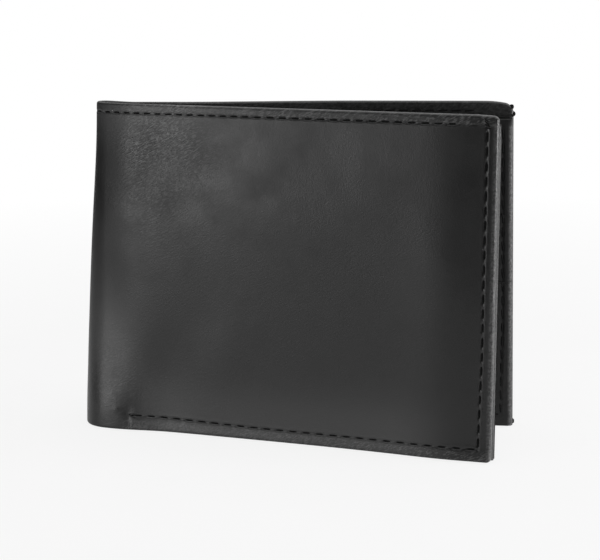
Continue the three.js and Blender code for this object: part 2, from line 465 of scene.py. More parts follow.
@dataclass(frozen=True)
class Track:
    """Stations from the middle of the fold to the free edge of one half.

    The first ones lie on the fold's curve; `u` goes on below the join as if the hide were laid flat.
    """
    shape: FoldedShape
    half: Half
    t: Array
    u: Array

    @classmethod
    def lay(cls, shape: FoldedShape, half: Half, leaf_u: Array, turns: int, height: float) -> "Track":
        """Lay the stations out.

        Args:
            shape: the folded hide.
            half: which half.
            leaf_u: stations on the leaf, the first one at the join.
            turns: number of stations on the fold.
            height: height at which lengths round the fold are measured.

        Returns:
            The track.
        """
        side = np.linspace(0.5, half.fold_end, turns + 1)
        fine = np.linspace(side[0], side[-1], FINE_STEPS * turns + 1)
        line = shape.outer_fold(fine, np.full_like(fine, height))[0]
        lengths = path_lengths(line)[::FINE_STEPS]
        u = np.concatenate([leaf_u[0] - (lengths[-1] - lengths[:-1]), leaf_u])
        t = np.concatenate([side[:-1], np.full(leaf_u.size, side[-1])])
        return cls(shape, half, t, u)

    def point(self, v: Array, depth: Array) -> Array:
        """Points at heights and depths given for every station, stations by columns."""
        u = np.broadcast_to(self.u[:, None], v.shape)
        t = np.broadcast_to(self.t[:, None], v.shape)
        on_leaf = self.u >= self.shape.join
        result = np.empty(v.shape + (3,))
        result[on_leaf] = self.shape.leaf_point(self.half, u[on_leaf], v[on_leaf], depth[on_leaf])
        turn = ~on_leaf
        spots, inward = self.shape.outer_fold(t[turn], v[turn])
        result[turn] = spots + inward * depth[turn][..., None]
        return result

    def inward(self, v: float) -> Array:
        """Inward directions of the stations at one height."""
        turned = self.shape.outer_fold(self.t, np.full(self.u.shape, v))[1]
        flat = np.broadcast_to(self.shape.leaves[self.half].inward, turned.shape)
        return np.where((self.u >= self.shape.join)[:, None], flat, turned)


@dataclass(frozen=True)
class Seam:
    """A straight row of stitches on one half."""
    name: str
    course: Course
    start: float
    end: float
    line: float
    pitch: float
    lift: float = 0.0
    lift_reach: float = 1.0
    outer: float = 1.0

    @property
    def count(self) -> int:
        """Number of stitches."""
        return max(1, round((self.end - self.start) / self.pitch))

    @property
    def step(self) -> float:
        """Distance from one stitch to the next."""
        return (self.end - self.start) / self.count

    def line_at(self, s: Array) -> Array:
        """Place of the row across its run, which may drift towards its start."""
        return self.line + self.lift * (1.0 - smooth((s - self.start) / self.lift_reach))

    def split(self, u: Array, v: Array) -> tuple[Array, Array]:
        """Distance along and across the row for spots of the half."""
        along, over = (u, v) if self.course is Course.ALONG else (v, u)
        return along, over - self.line_at(along)

    def path(self, step: float) -> tuple[Array, Array]:
        """The row's u and v from its first to its last hole."""
        s = np.linspace(self.start, self.end, max(2, round((self.end - self.start) / step)))
        over = self.line_at(s)
        return (s, over) if self.course is Course.ALONG else (over, s)


@dataclass(frozen=True)
class SeamDent:
    """How stitches press the leather: a slot under each stitch, a shallow groove and puffed sides."""
    groove: float = 0.1
    slot: float = 0.42
    width: float = 0.28
    share: float = 0.6
    soften: float = 0.14
    end_ease: float = 0.4
    puff: float = 0.1
    inner_puff: float = 0.02
    puff_place: float = 0.7
    puff_width: float = 0.34
    puff_between: float = 0.4

    def sink(self, seam: Seam, u: Array, v: Array) -> Array:
        """Inward shift that one seam gives to spots of its half."""
        along, across = seam.split(u, v)
        phase = (np.clip(along, seam.start, seam.end) - seam.start) / seam.step
        off = np.abs(phase - np.floor(phase) - 0.5)
        slot = smooth((self.share / 2 - off) / self.soften + 0.5)
        inside = smooth((along - seam.start + self.end_ease) / self.end_ease)
        inside = inside * smooth((seam.end + self.end_ease - along) / self.end_ease)
        deep = (self.groove + (self.slot - self.groove) * slot) * hump(across, self.width)
        out = across * np.sign(seam.outer)
        puff = abs(seam.outer) * self.puff * hump(out - self.puff_place, self.puff_width)
        puff = puff + self.inner_puff * hump(out + self.puff_place, self.puff_width)
        return inside * (deep - puff * (self.puff_between + (1.0 - self.puff_between) * slot))


class NodeBench:
    """A node tree under construction."""

    def __init__(self, tree: bpy.types.NodeTree) -> None:
        """Start with an empty tree."""
        self.tree = tree
        tree.nodes.clear()

    def put(self, socket: Socket, value: object) -> None:
        """Link an input to another node's output, or set its value."""
        if isinstance(value, Socket):
            self.tree.links.new(value, socket)
        else:
            socket.default_value = value

    def add(self, kind: str, inputs: dict[Any, object] | None = None, **settings: object) -> Node:
        """Add a node.

        Args:
            kind: node type.
            inputs: values or outputs for its input sockets, by their name or number.
            settings: values for its properties.

        Returns:
            The node.
        """
        node = self.tree.nodes.new(kind)
        for key, value in settings.items():
            setattr(node, key, value)
        for key, value in (inputs or {}).items():
            self.put(node.inputs[key], value)
        return node

    def math(self, operation: str, *values: object) -> Socket:
        """Combine values."""
        return self.add("ShaderNodeMath", dict(enumerate(values)), operation=operation).outputs[0]

    def remap(self, value: Socket, low: float, high: float, to_low: float = 0.0,
              to_high: float = 1.0) -> Socket:
        """Map a value from one span to another, clamped."""
        inputs = {"Value": value, "From Min": low, "From Max": high, "To Min": to_low, "To Max": to_high}
        return self.add("ShaderNodeMapRange", inputs).outputs[0]


class Shader(NodeBench):
    """A surface material under construction."""

    def __init__(self, name: str) -> None:
        """Start an empty material."""
        self.material = bpy.data.materials.new(name)
        self.material.use_nodes = True
        super().__init__(self.material.node_tree)
        self.place = self.add("ShaderNodeTexCoord").outputs["Object"]

    def blend(self, factor: Socket, a: object, b: object) -> Socket:
        """Mix two colours by a factor."""
        return self.add("ShaderNodeMix", {0: factor, 6: a, 7: b}, data_type="RGBA").outputs[2]

    def mark(self, name: str) -> Socket:
        """A named share that the mesh carries."""
        return self.add("ShaderNodeAttribute", attribute_name=name).outputs["Fac"]

    def noise(self, scale: float, detail: float = 2.0, roughness: float = 0.5,
              place: Socket | None = None) -> Socket:
        """Soft noise over the object.

        Args:
            scale: lumps per metre.
            detail: how many finer layers it has.
            roughness: strength of the finer layers.
            place: coordinates to use instead of the object's own.

        Returns:
            The noise, about 0 to 1.
        """
        place = self.place if place is None else place
        inputs = {"Vector": place, "Scale": scale, "Detail": detail, "Roughness": roughness}
        return self.add("ShaderNodeTexNoise", inputs).outputs[0]

    def bump(self, height: Socket, depth_mm: float, under: Socket | None = None) -> Socket:
        """Raise the surface by a height of 0 to 1 times a depth."""
        inputs = {"Height": height, "Distance": depth_mm * MM, "Strength": 1.0}
        if under is not None:
            inputs["Normal"] = under
        return self.add("ShaderNodeBump", inputs).outputs[0]

    def surface(self, tone: Socket, rough: object, relief: Socket, sheen: float) -> Material:
        """Close the material with one plain surface."""
        inputs = {"Base Color": tone, "Roughness": rough, "Normal": relief, "Specular IOR Level": sheen}
        return self.close(self.add("ShaderNodeBsdfPrincipled", inputs))

    def close(self, shader: Node) -> Material:
        """Join a shader to the output and hand the material over."""
        self.add("ShaderNodeOutputMaterial", {"Surface": shader.outputs[0]})
        return self.material


def grey(level: float) -> tuple[float, float, float, float]:
    """A grey of linear level."""
    return (level, level, level, 1.0)


@dataclass(frozen=True)
class LeatherFinish:
    """Black finished leather with a fine grain, soft creases and paler cut edges, lightened by painted
    highlight patches and painted glints on the wrinkles.
    """
    name: str
    level: float = 0.009
    worn_level: float = 0.014
    rim_level: float = 0.12
    # Paler tone of the painted glints on the wrinkle ridges.
    painted_glint_level: float = 0.17
    # Paler tone of the painted highlight patches.
    painted_highlight_level: float = 0.1
    roughness: float = 0.35
    rough_span: tuple[float, float] = (-0.05, 0.07)
    sheen: float = 0.5
    grain_mm: float = 0.36
    grain_tilt: float = -1.1
    grain_stretch: float = 0.22
    grain_depth_mm: float = 0.16
    even_grain: float = 0.13
    pore_scale: float = 3600.0
    pore_depth_mm: float = 0.03
    crease_mm: float = 9.0
    crease_depth_mm: float = 0.03
    cloud_scale: float = 45.0
    rib_scale: float = 1700.0

    def material(self) -> Material:
        """Build the node material."""
        sh = Shader(self.name)
        drift = sh.noise(1.0 / (self.crease_mm * MM), 3.0, 0.55)
        cloud = sh.noise(self.cloud_scale)
        tilt, squeeze = (0.0, self.grain_tilt, 0.0), (1.0, 1.0, self.grain_stretch)
        turned = sh.add("ShaderNodeMapping", {"Vector": sh.place, "Rotation": tilt})
        long = sh.add("ShaderNodeMapping", {"Vector": turned.outputs[0], "Scale": squeeze})
        wrinkle = sh.noise(1.0 / (self.grain_mm * MM), 2.0, 0.6, long.outputs[0])
        # The grain share places both the wrinkles' relief and their painted glints.
        patch = sh.math("MULTIPLY", sh.mark("grain"), sh.remap(cloud, 0.36, 0.55, 0.4))
        pebble = sh.math("MULTIPLY", wrinkle, sh.remap(patch, 0.0, 1.0, self.even_grain))
        # Painted glints: pale flecks on the wrinkle ridges where they catch light.
        painted_glints = sh.math("MULTIPLY", patch, sh.remap(wrinkle, 0.5, 0.62))
        streak = sh.remap(sh.noise(self.rib_scale, 1.0), 0.35, 0.68, 0.2)
        rim = sh.math("MULTIPLY", sh.mark("rim"), streak)
        tone = sh.blend(sh.remap(cloud, 0.35, 0.7), grey(self.level), grey(self.worn_level))
        # Painted highlight: the tone turns paler where the hide catches light.
        tone = sh.blend(sh.mark("rub"), tone, grey(self.painted_highlight_level))
        tone = sh.blend(painted_glints, tone, grey(self.painted_glint_level))
        # On the hide the rim share also carries the painted hem highlight.
        tone = sh.blend(rim, tone, grey(self.rim_level))
        smoother, rougher = (self.roughness + change for change in self.rough_span)
        rough = sh.remap(drift, 0.3, 0.7, smoother, rougher)
        relief = sh.bump(drift, self.crease_depth_mm)
        relief = sh.bump(pebble, self.grain_depth_mm, relief)
        relief = sh.bump(sh.noise(self.pore_scale), self.pore_depth_mm, relief)
        return sh.surface(tone, rough, relief, self.sheen)


@dataclass(frozen=True)
class ClothFinish:
    """Plain woven lining cloth."""
    name: str
    level: float = 0.02
    yarn_mm: float = 0.35
    yarn_sway: float = 0.4
    band_factor: float = 20.0
    weave_depth_mm: float = 0.08
    cloud_scale: float = 120.0
    sheen: float = 0.3

    def material(self) -> Material:
        """Build the node material."""
        sh = Shader(self.name)
        wide = 1.0 / (self.yarn_mm * MM) / self.band_factor
        yarns = {"Vector": sh.place, "Scale": wide, "Distortion": self.yarn_sway}
        warp, weft = (sh.add("ShaderNodeTexWave", yarns, bands_direction=way) for way in ("X", "Z"))
        weave = sh.math("MULTIPLY", warp.outputs["Fac"], weft.outputs["Fac"])
        tone = sh.blend(sh.remap(weave, 0.0, 0.6), grey(self.level * 0.6), grey(self.level * 1.3))
        rough = sh.remap(sh.noise(self.cloud_scale, 3.0), 0.3, 0.7, 0.7, 0.85)
        return sh.surface(tone, rough, sh.bump(weave, self.weave_depth_mm), self.sheen)


@dataclass(frozen=True)
class ThreadFinish:
    """Waxed black sewing thread."""
    name: str = "waxed_thread"
    level: float = 0.005
    roughness: float = 0.75
    ply_scale: float = 2600.0
    ply_depth_mm: float = 0.05
    sheen: float = 0.2

    def material(self) -> Material:
        """Build the node material."""
        sh = Shader(self.name)
        ply = sh.noise(self.ply_scale)
        tone = sh.blend(sh.remap(ply, 0.3, 0.7), grey(self.level * 0.6), grey(self.level * 1.6))
        return sh.surface(tone, self.roughness, sh.bump(ply, self.ply_depth_mm), self.sheen)


@dataclass(frozen=True)
class StageFinish:
    """Pale studio paper: white to the camera but still taking a soft shadow."""
    name: str = "studio_paper"
    level: float = 0.8
    fibre_scale: float = 60.0
    fibre_gain: float = 1.03
    near_glow: float = 0.85
    near: float = 140.0
    far: float = 420.0
    mirrored: float = 0.0
    near_mirrored: float = 0.0

    def material(self) -> Material:
        """Build the node material."""
        sh = Shader(self.name)
        fibre = sh.remap(sh.noise(self.fibre_scale), 0.3, 0.7)
        tone = sh.blend(fibre, grey(self.level), grey(self.level * self.fibre_gain))
        paper = sh.add("ShaderNodeBsdfDiffuse", {"Color": tone})
        light = sh.add("ShaderNodeEmission", {"Color": grey(1.0), "Strength": 1.0})
        ray = sh.add("ShaderNodeLightPath").outputs
        mirrored = sh.math("MAXIMUM", ray["Is Glossy Ray"], ray["Is Transmission Ray"])
        flat = sh.add("ShaderNodeVectorMath", {0: sh.place}, operation="LENGTH").outputs["Value"]
        near, far = self.near * MM, self.far * MM
        bounce = sh.remap(flat, near, far, self.near_mirrored, self.mirrored)
        seen = sh.math("MAXIMUM", ray["Is Camera Ray"], sh.math("MULTIPLY", mirrored, bounce))
        share = sh.math("MULTIPLY", seen, sh.remap(flat, near, far, self.near_glow, 1.0))
        return sh.close(sh.add("ShaderNodeMixShader", {0: share, 1: paper.outputs[0], 2: light.outputs[0]}))


class Binding:
    """Finds where the hide's bend would start and end on each half, and bakes pieces' placements into their
    meshes.
    """
    samples: int = 45

    def __init__(self, shape: FoldedShape, leaf_reach: float = 7.0, tilt: float = 35.0) -> None:
        """Find, for each half, where the bend starts and ends.

        Args:
            shape: the folded hide.
            leaf_reach: where the bend starts on the leaf, from the fold line.
            tilt: how far the bend's direction turns from the leaf towards the fold's middle, in degrees.
        """
        self.spans: dict[Half, tuple[Vector, Vector]] = {}
        middle = shape.middle(np.linspace(0.0, shape.height, self.samples))
        turn = math.radians(tilt)
        for half, leaf in shape.leaves.items():
            start = leaf.place(np.array(leaf_reach), np.array(shape.height / 2), 0.0)
            level = leaf.inward * np.array([1.0, 1.0, 0.0])
            heading = -math.cos(turn) * leaf.along + math.sin(turn) * level / np.linalg.norm(level)
            reach = float(((middle - start) @ heading).min())
            end = start + heading * reach
            self.spans[half] = (Vector(start * MM), Vector(end * MM))

    def bend(self, piece: bpy.types.Object, half: Half) -> None:
        """Bake a piece's placement into its mesh; it is not tied to a body and does not bend."""
        if half is Half.BACK:
            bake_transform(piece)
        else:
            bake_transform(piece)


# Heights of the hide's outer and inner side, each with the spacing from there upwards.
FACE_SPACING = ((2.2, 0.16), (5.2, 0.3), (8.0, 0.5), (79.0, 0.3), (84.4, 0.16), (86.6, 0.3))
INNER_SPACING = ((7.5, 0.3), (9.0, 4.0), (79.0, 0.3), (80.5, 1.5))
# Angles round the turned top and foot, and round the free edge.
HEM_TURNS = np.arange(18.0, 179.0, 18.0)
EDGE_TURNS = (12.0, 24.0, 36.0, 48.0, 60.0, 72.0, 82.0)
# Angle round the turned edges over which the outer face's dents fade.
FACE_FADE = 60.0


@dataclass
class Cover:
    """The outer hide with its turned hems, as two skins that meet along the middle of the fold."""
    shape: FoldedShape
    finish: Material
    hem_depth: float = 2.0
    fold_hem_depth: float = 1.3
    plain_depth: float = 1.0
    hem_width: float = 8.0
    hem_step: float = 0.6
    edge_tall: float = 0.65
    edge_round: float = 0.5
    edge_step: float = 0.3
    inner_step: float = 1.5
    fold_turns: int = 26
    top_seam: float = 2.5
    top_seam_stop: float = 10.0
    top_seam_change: float = 45.0
    top_near_pitch: float = 3.1
    top_far_pitch: float = 3.6
    top_puff: float = 0.1
    top_crease: float = 6.0
    top_crease_start: float = 0.8
    top_crease_end: float = 2.0
    side_seam: float = 2.8
    side_seam_drift: float = -0.5
    side_seam_reach: float = 30.0
    side_seam_top: float = 3.4
    side_pitch: float = 3.7
    foot_seam: float = 3.3
    foot_seam_start: float = 11.2
    foot_seam_lift: float = 0.7
    foot_seam_reach: float = 45.0
    foot_pitch: float = 3.65
    foot_puff: float = -0.5
    corner_top: dict[Half, float] = per_half(front=1.4, back=2.2)
    corner_foot: float = 1.2
    corner_droop: dict[Half, float] = per_half(front=0.3, back=1.0)
    droop_reach: float = 7.5
    lip: float = 0.42
    lip_tall: float = 2.9
    lip_soft: float = 0.8
    top_lean: float = 0.05
    top_dip: dict[Half, float] = per_half(front=0.0, back=0.45)
    top_dip_run: tuple[float, float, float, float] = (0.0, 10.0, 15.0, 55.0)
    foot_square: float = 0.55
    # A paler tone on the hide's inner side and hem turns, fading out at the foot.
    inner_pale: float = 0.3
    inner_pale_rise: float = 2.0
    rim_top: dict[Half, float] = per_half(front=85.0, back=81.0)
    rim_width: float = 1.5
    rim_soft: float = 1.0
    rim_fade: float = 1.5
    # Painted highlight on the hem bands outside the top and foot seams, most beside the fold.
    hem_highlight_foot: float = 1.0
    hem_highlight_top: float = 0.55
    hem_highlight_reach: float = 60.0
    hem_highlight_gap: float = 0.3
    hem_highlight_soft: float = 0.5
    hem_highlight_edge: float = 0.8
    # Painted highlight below the top seam, on the fold's foot and above the bottom seam.
    painted_highlight_top: Spot = Spot(19.0, 86.0, 24.0, 9.0, 0.6)
    painted_highlight_fold: Spot = Spot(5.0, 25.0, 6.0, 13.0, 0.65)
    painted_highlight_foot: float = 0.55
    painted_highlight_foot_line: float = 5.0
    painted_highlight_foot_tall: float = 9.0
    painted_highlight_foot_run: tuple[float, float, float, float] = (10.0, 6.0, 84.0, 20.0)
    # Where the wrinkles and their painted glints lie.
    grain_share: dict[Half, float] = per_half(front=1.0, back=0.4)
    grain_top: Spot = Spot(15.0, 79.0, 16.0, 18.0, 1.0)
    grain_top_start: float = 5.0
    grain_top_ease: float = 6.0
    grain_foot: Spot = Spot(6.0, 16.0, 6.0, 11.0, 0.3)
    grain_hem: float = 0.6
    grain_hem_start: float = 8.0
    grain_hem_ease: float = 4.0
    grain_hem_tall: float = 2.0
    grain_hem_fade: float = 1.5
    dent: SeamDent = SeamDent()
    squeeze: Array = field(init=False)
    tracks: dict[Half, Track] = field(init=False)
    seams: dict[Half, dict[str, Seam]] = field(init=False)

    def __post_init__(self) -> None:
        """Lay out the stations and the seams of both halves."""
        shape = self.shape
        far = shape.length
        end = far - self.edge_round
        leaf_u = run((shape.join, 0.28), (13.0, 0.42), (far - 5.2, 0.17), (far - 1.2, 0.3), (end, 0.3))
        self.squeeze = np.radians(EDGE_TURNS)
        leaf_u = np.concatenate([leaf_u, end + self.edge_round * np.sin(self.squeeze)])
        seam_height = shape.height - self.top_seam
        self.tracks = {h: Track.lay(shape, h, leaf_u, self.fold_turns, seam_height) for h in Half}
        self.seams = {h: self.lay_seams(h) for h in Half}

    def lay_seams(self, half: Half) -> dict[str, Seam]:
        """The rows of stitches of one half, by name."""
        shape = self.shape
        middle = float(self.tracks[half].u[0])
        change, stop = self.top_seam_change, shape.length - self.top_seam_stop
        top = shape.height - self.top_seam
        side = shape.length - self.side_seam
        side_end = shape.height - self.side_seam_top
        foot, drift = self.foot_seam, self.side_seam_drift
        rows = (
            Seam("top_near", Course.ALONG, middle, change, top, self.top_near_pitch, outer=self.top_puff),
            Seam("top_far", Course.ALONG, change, stop, top, self.top_far_pitch, outer=self.top_puff),
            Seam("side", Course.UP, foot, side_end, side, self.side_pitch, drift, self.side_seam_reach),
            Seam("foot", Course.ALONG, self.foot_seam_start, side + drift, foot, self.foot_pitch,
                 self.foot_seam_lift, self.foot_seam_reach, self.foot_puff),
        )
        return {row.name: row for row in rows}

    def past_start(self, u: Array) -> Array:
        """0 before the foot seam's start, 1 after it."""
        return smooth((u - self.foot_seam_start) / self.lip_soft + 0.5)

    def dents(self, half: Half, u: Array, v: Array) -> Array:
        """Inward shift of the outer face from all seams of a half, its foot band and its top hem."""
        sewn = sum(self.dent.sink(seam, u, v) for seam in self.seams[half].values())
        tail = self.shape.length - self.top_seam_stop
        over_seam = v - self.shape.height + self.top_seam
        line = smooth((u - tail) / self.top_crease_start)
        line = line * smooth((tail + self.top_crease - u) / self.top_crease_end)
        crease = self.dent.groove * line * hump(over_seam, self.dent.width)
        band = self.lip * self.past_start(u) * hump(v, self.lip_tall)
        lean = self.top_lean * np.clip(over_seam / self.top_seam, 0.0, 1.0)
        return sewn + crease - band + lean

    def hem_at(self, u: Array) -> Array:
        """Depth of the turned hem, which is thinner round the fold."""
        return self.fold_hem_depth + (self.hem_depth - self.fold_hem_depth) * self.shape.stack_at(u)

    def inner_depth(self, u: Array, v: Array) -> Array:
        """Depth of the hide's inner side."""
        shape = self.shape
        inset = np.minimum(np.minimum(v, shape.height - v), shape.length - u)
        hem = 1.0 - smooth((inset - self.hem_width + self.hem_step / 2) / self.hem_step)
        return self.plain_depth + (self.hem_at(u) - self.plain_depth) * hem

    def skin(self, half: Half) -> Solid:
        """Build the skin of one half."""
        shape, track = self.shape, self.tracks[half]
        foot, top = self.edge_tall, shape.height - self.edge_tall
        face = run((foot, self.edge_step), *FACE_SPACING, (top, self.edge_step))
        back = run((foot, self.inner_step), *INNER_SPACING, (top, self.inner_step))[::-1]
        bend = np.radians(HEM_TURNS)
        power = self.foot_square
        low_bend = foot - self.edge_tall * np.sin(bend) ** power
        low_turn = np.sign(np.cos(bend)) * np.abs(np.cos(bend)) ** power
        u = track.u[:, None]
        hem = self.hem_at(u)
        heights = np.concatenate([face, top + self.edge_tall * np.sin(bend), back, low_bend])
        v = np.tile(heights, (u.size, 1))
        depth = np.concatenate([
            np.zeros((u.size, face.size)),
            hem / 2 * (1 - np.cos(bend)),
            self.inner_depth(u, back[None, :]),
            hem / 2 * (1 + low_turn),
        ], axis=1)
        outer = np.concatenate([
            np.ones(face.size),
            1 - smooth(HEM_TURNS / FACE_FADE),
            np.zeros(back.size),
            1 - smooth((180.0 - HEM_TURNS) / FACE_FADE),
        ])
        depth = depth + self.dents(half, np.broadcast_to(u, v.shape), v) * outer
        flat = np.ones(u.size)
        flat[-self.squeeze.size:] = np.cos(self.squeeze)
        depth = hem / 2 + (depth - hem / 2) * flat[:, None]
        v = self.rounded(half, u, v)
        rim = smooth((u - (shape.length - self.rim_width)) / self.rim_soft)
        rim = rim * (1.0 - smooth((v - self.rim_top[half]) / self.rim_fade))
        # Paler tone on the inner side and hem turns, fading out at the foot.
        rim = np.maximum(rim, self.inner_pale * (1.0 - outer) * smooth((v - foot) / self.inner_pale_rise))
        # The painted hem highlight is carried in the pale rim share.
        rim = np.maximum(rim, self.hem_highlight_at(u, v) * outer)
        # Painted highlight on the outer face.
        rub = self.painted_highlight_at(u, v) * outer
        return ring_solid(track.point(v, depth), rim=rim, grain=self.grain_and_glint_at(half, u, v), rub=rub)

    def hem_highlight_at(self, u: Array, v: Array) -> Array:
        """Painted highlight on the hem bands outside their seams, where they catch light, most beside the
        fold.
        """
        soft = self.hem_highlight_soft
        top = self.shape.height
        near = self.past_start(u) * hump(u - self.foot_seam_start, self.hem_highlight_reach)
        low = self.hem_highlight_foot * smooth((self.foot_seam - self.hem_highlight_gap - v) / soft)
        low = low * smooth((v - soft) / soft)
        high = self.hem_highlight_top * smooth((v - top + self.top_seam - soft) / soft)
        high = high * smooth((top - v) / self.hem_highlight_edge)
        return near * (low + high)

    def painted_highlight_at(self, u: Array, v: Array) -> Array:
        """Share of the painted highlight: below the top seam, above the bottom seam and at the fold's foot.
        """
        low = self.painted_highlight_foot * stretch(u, *self.painted_highlight_foot_run)
        low = low * hump(v - self.painted_highlight_foot_line, self.painted_highlight_foot_tall)
        return self.painted_highlight_top.at(u, v) + low + self.painted_highlight_fold.at(u, v)

    def grain_and_glint_at(self, half: Half, u: Array, v: Array) -> Array:
        """Share of the wrinkles and their painted glints: most beside the fold's top, some beside its foot
        and along the hems.
        """
        high = smooth((u - self.grain_top_start) / self.grain_top_ease) * self.grain_top.at(u, v)
        inset = np.minimum(v, self.shape.height - v)
        hems = self.grain_hem * smooth((u - self.grain_hem_start) / self.grain_hem_ease)
        hems = hems * (1.0 - smooth((inset - self.grain_hem_tall) / self.grain_hem_fade))
        return self.grain_share[half] * np.clip(high + self.grain_foot.at(u, v) + hems, 0.0, 1.0)

    def rounded(self, half: Half, u: Array, v: Array) -> Array:
        """Draw heights in so that the free corners are round and the top edge dips."""
        far = self.shape.length
        middle = self.shape.height / 2
        result = v.copy()
        for radius, upper in ((self.corner_top[half], True), (self.corner_foot, False)):
            past = np.clip(u - (far - radius), 0.0, radius)
            drop = radius - np.sqrt(radius * radius - past * past)
            if upper:
                droop = np.clip((u - far) / self.droop_reach + 1.0, 0.0, 1.0) ** 2
                drop = drop + self.top_dip[half] * stretch(u, *self.top_dip_run)
                drop = drop + self.corner_droop[half] * droop
            scale = (middle - drop) / middle
            chosen = v > middle if upper else v <= middle
            result = np.where(chosen, middle + (v - middle) * scale, result)
        return result

    def build(self, binding: Binding) -> None:
        """Make both skins, bake their placements and hide the parts that they stand for."""
        for half in Half:
            piece = self.skin(half).make(f"hide_{half.value}", self.finish, Slot.COVER)
            binding.bend(piece, half)
            own = ("cover", "hem_top", "hem_side", "hem_foot")
            names = half.nodes(own, ("cover", "hem_top", "hem_foot"))
            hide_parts(*names)


@dataclass
class BillCompartment:
    """The glued lining of the hide and the divider leaf, both of thin cloth, across the fold."""
    shape: FoldedShape
    lining_finish: Material
    divider_finish: Material
    lining_depth: float = 1.16
    lining_inset: float = 6.5
    lining_turns: int = 10
    divider_depth: float = 2.12
    divider_near_depth: float = 1.45
    divider_join: float = 9.0
    divider_top: float = 84.0
    divider_foot: float = 0.8
    divider_end: float = 110.2
    divider_turns: int = 14
    divider_run: tuple[float, float] = (-6.0, 8.0)
    swell_top: float = -1.5
    swell_gain: float = 2.5
    cloth: float = 0.18
    step: float = 1.5
    edge: float = 0.6
    edge_share: float = 0.3

    def taper(self, track_u: Array, v: Array) -> Array:
        """Share of the cloth's thickness, thinner at its cut edges but not at the middle of the fold."""
        side = track_u[-1] - track_u[:, None]
        inset = np.minimum(np.minimum(v - v.min(), v.max() - v)[None, :], side)
        return self.edge_share + (1.0 - self.edge_share) * smooth(inset / self.edge)

    def lengthwise(self, start: float, end: float) -> Array:
        """Places along the cloth, closer together at its free end."""
        plain = run((start, self.step), (end - self.edge, self.step))
        return np.concatenate([plain, [end - self.edge / 2, end]])

    def upright(self, low: float, high: float) -> Array:
        """Heights across the cloth, closer together at its foot and its top."""
        return np.concatenate([[low, low + self.edge / 2], self.lengthwise(low + self.edge, high)])

    def divider_at(self, u: Array) -> Array:
        """Depth of the divider, less near the fold where the stack is thinner."""
        gain = self.divider_depth - self.divider_near_depth
        return self.divider_near_depth + gain * self.shape.stack_at(u)

    def lining(self, half: Half) -> Solid:
        """The lining of one half, laid on the inside of the hide."""
        shape = self.shape
        leaf_u = self.lengthwise(shape.join, shape.length - self.lining_inset)
        track = Track.lay(shape, half, leaf_u, self.lining_turns, shape.height / 2)
        v = self.upright(self.lining_inset, shape.height - self.lining_inset)
        grid = np.tile(v, (track.u.size, 1))
        half_thick = self.cloth / 2 * self.taper(track.u, v)
        inner = track.point(grid, self.lining_depth + half_thick)
        outer = track.point(grid, self.lining_depth - half_thick)
        return slab_solid(inner, outer)

    def divider(self, half: Half) -> Solid:
        """The divider leaf of one half, running free across the fold."""
        shape = self.shape
        v = self.upright(self.divider_foot, self.divider_top)
        leaf_u = self.lengthwise(self.divider_join, self.divider_end)
        sides = np.linspace(0.5, half.fold_end, self.divider_turns + 1)[:-1]
        turn_v = np.tile(v, (sides.size, 1))
        swell = self.swell_top + self.swell_gain * (1.0 - turn_v / shape.height)
        turn_t = np.broadcast_to(sides[:, None], turn_v.shape)
        spots, inward = shape.fold(turn_t, turn_v, self.divider_join, self.divider_near_depth, swell)
        grid_u, grid_v = np.meshgrid(leaf_u, v, indexing="ij")
        flat = shape.leaf_point(half, grid_u, grid_v, self.divider_at(grid_u))
        aim = np.broadcast_to(shape.leaves[half].inward, flat.shape)
        points = np.concatenate([spots, flat])
        aims = np.concatenate([inward, aim])
        track_u = np.concatenate([np.linspace(*self.divider_run, sides.size), leaf_u])
        thick = (self.cloth / 2 * self.taper(track_u, v))[..., None]
        return slab_solid(points + aims * thick, points - aims * thick)

    def build(self, binding: Binding) -> None:
        lining_tall = self.shape.height - 2 * self.lining_inset
        divider_tall = self.divider_top - self.divider_foot
        for half in Half:
            lining = self.lining(half).make(f"lining_cloth_{half.value}", self.lining_finish, Slot.LINING)
            binding.bend(lining, half)
            name = f"divider_cloth_{half.value}"
            divider = self.divider(half).make(name, self.divider_finish, Slot.DIVIDER)
            binding.bend(divider, half)
            cloths = (("bill_lining", lining, lining_tall), ("bill_divider", divider, divider_tall))
            for part, piece, tall in cloths:
                names = half.nodes([part], [part])
                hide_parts(*names)


# Places across a rounded leather edge, as shares of its width.
LIP_SHARES = np.array([0.0, 0.04, 0.15, 0.35, 0.65])


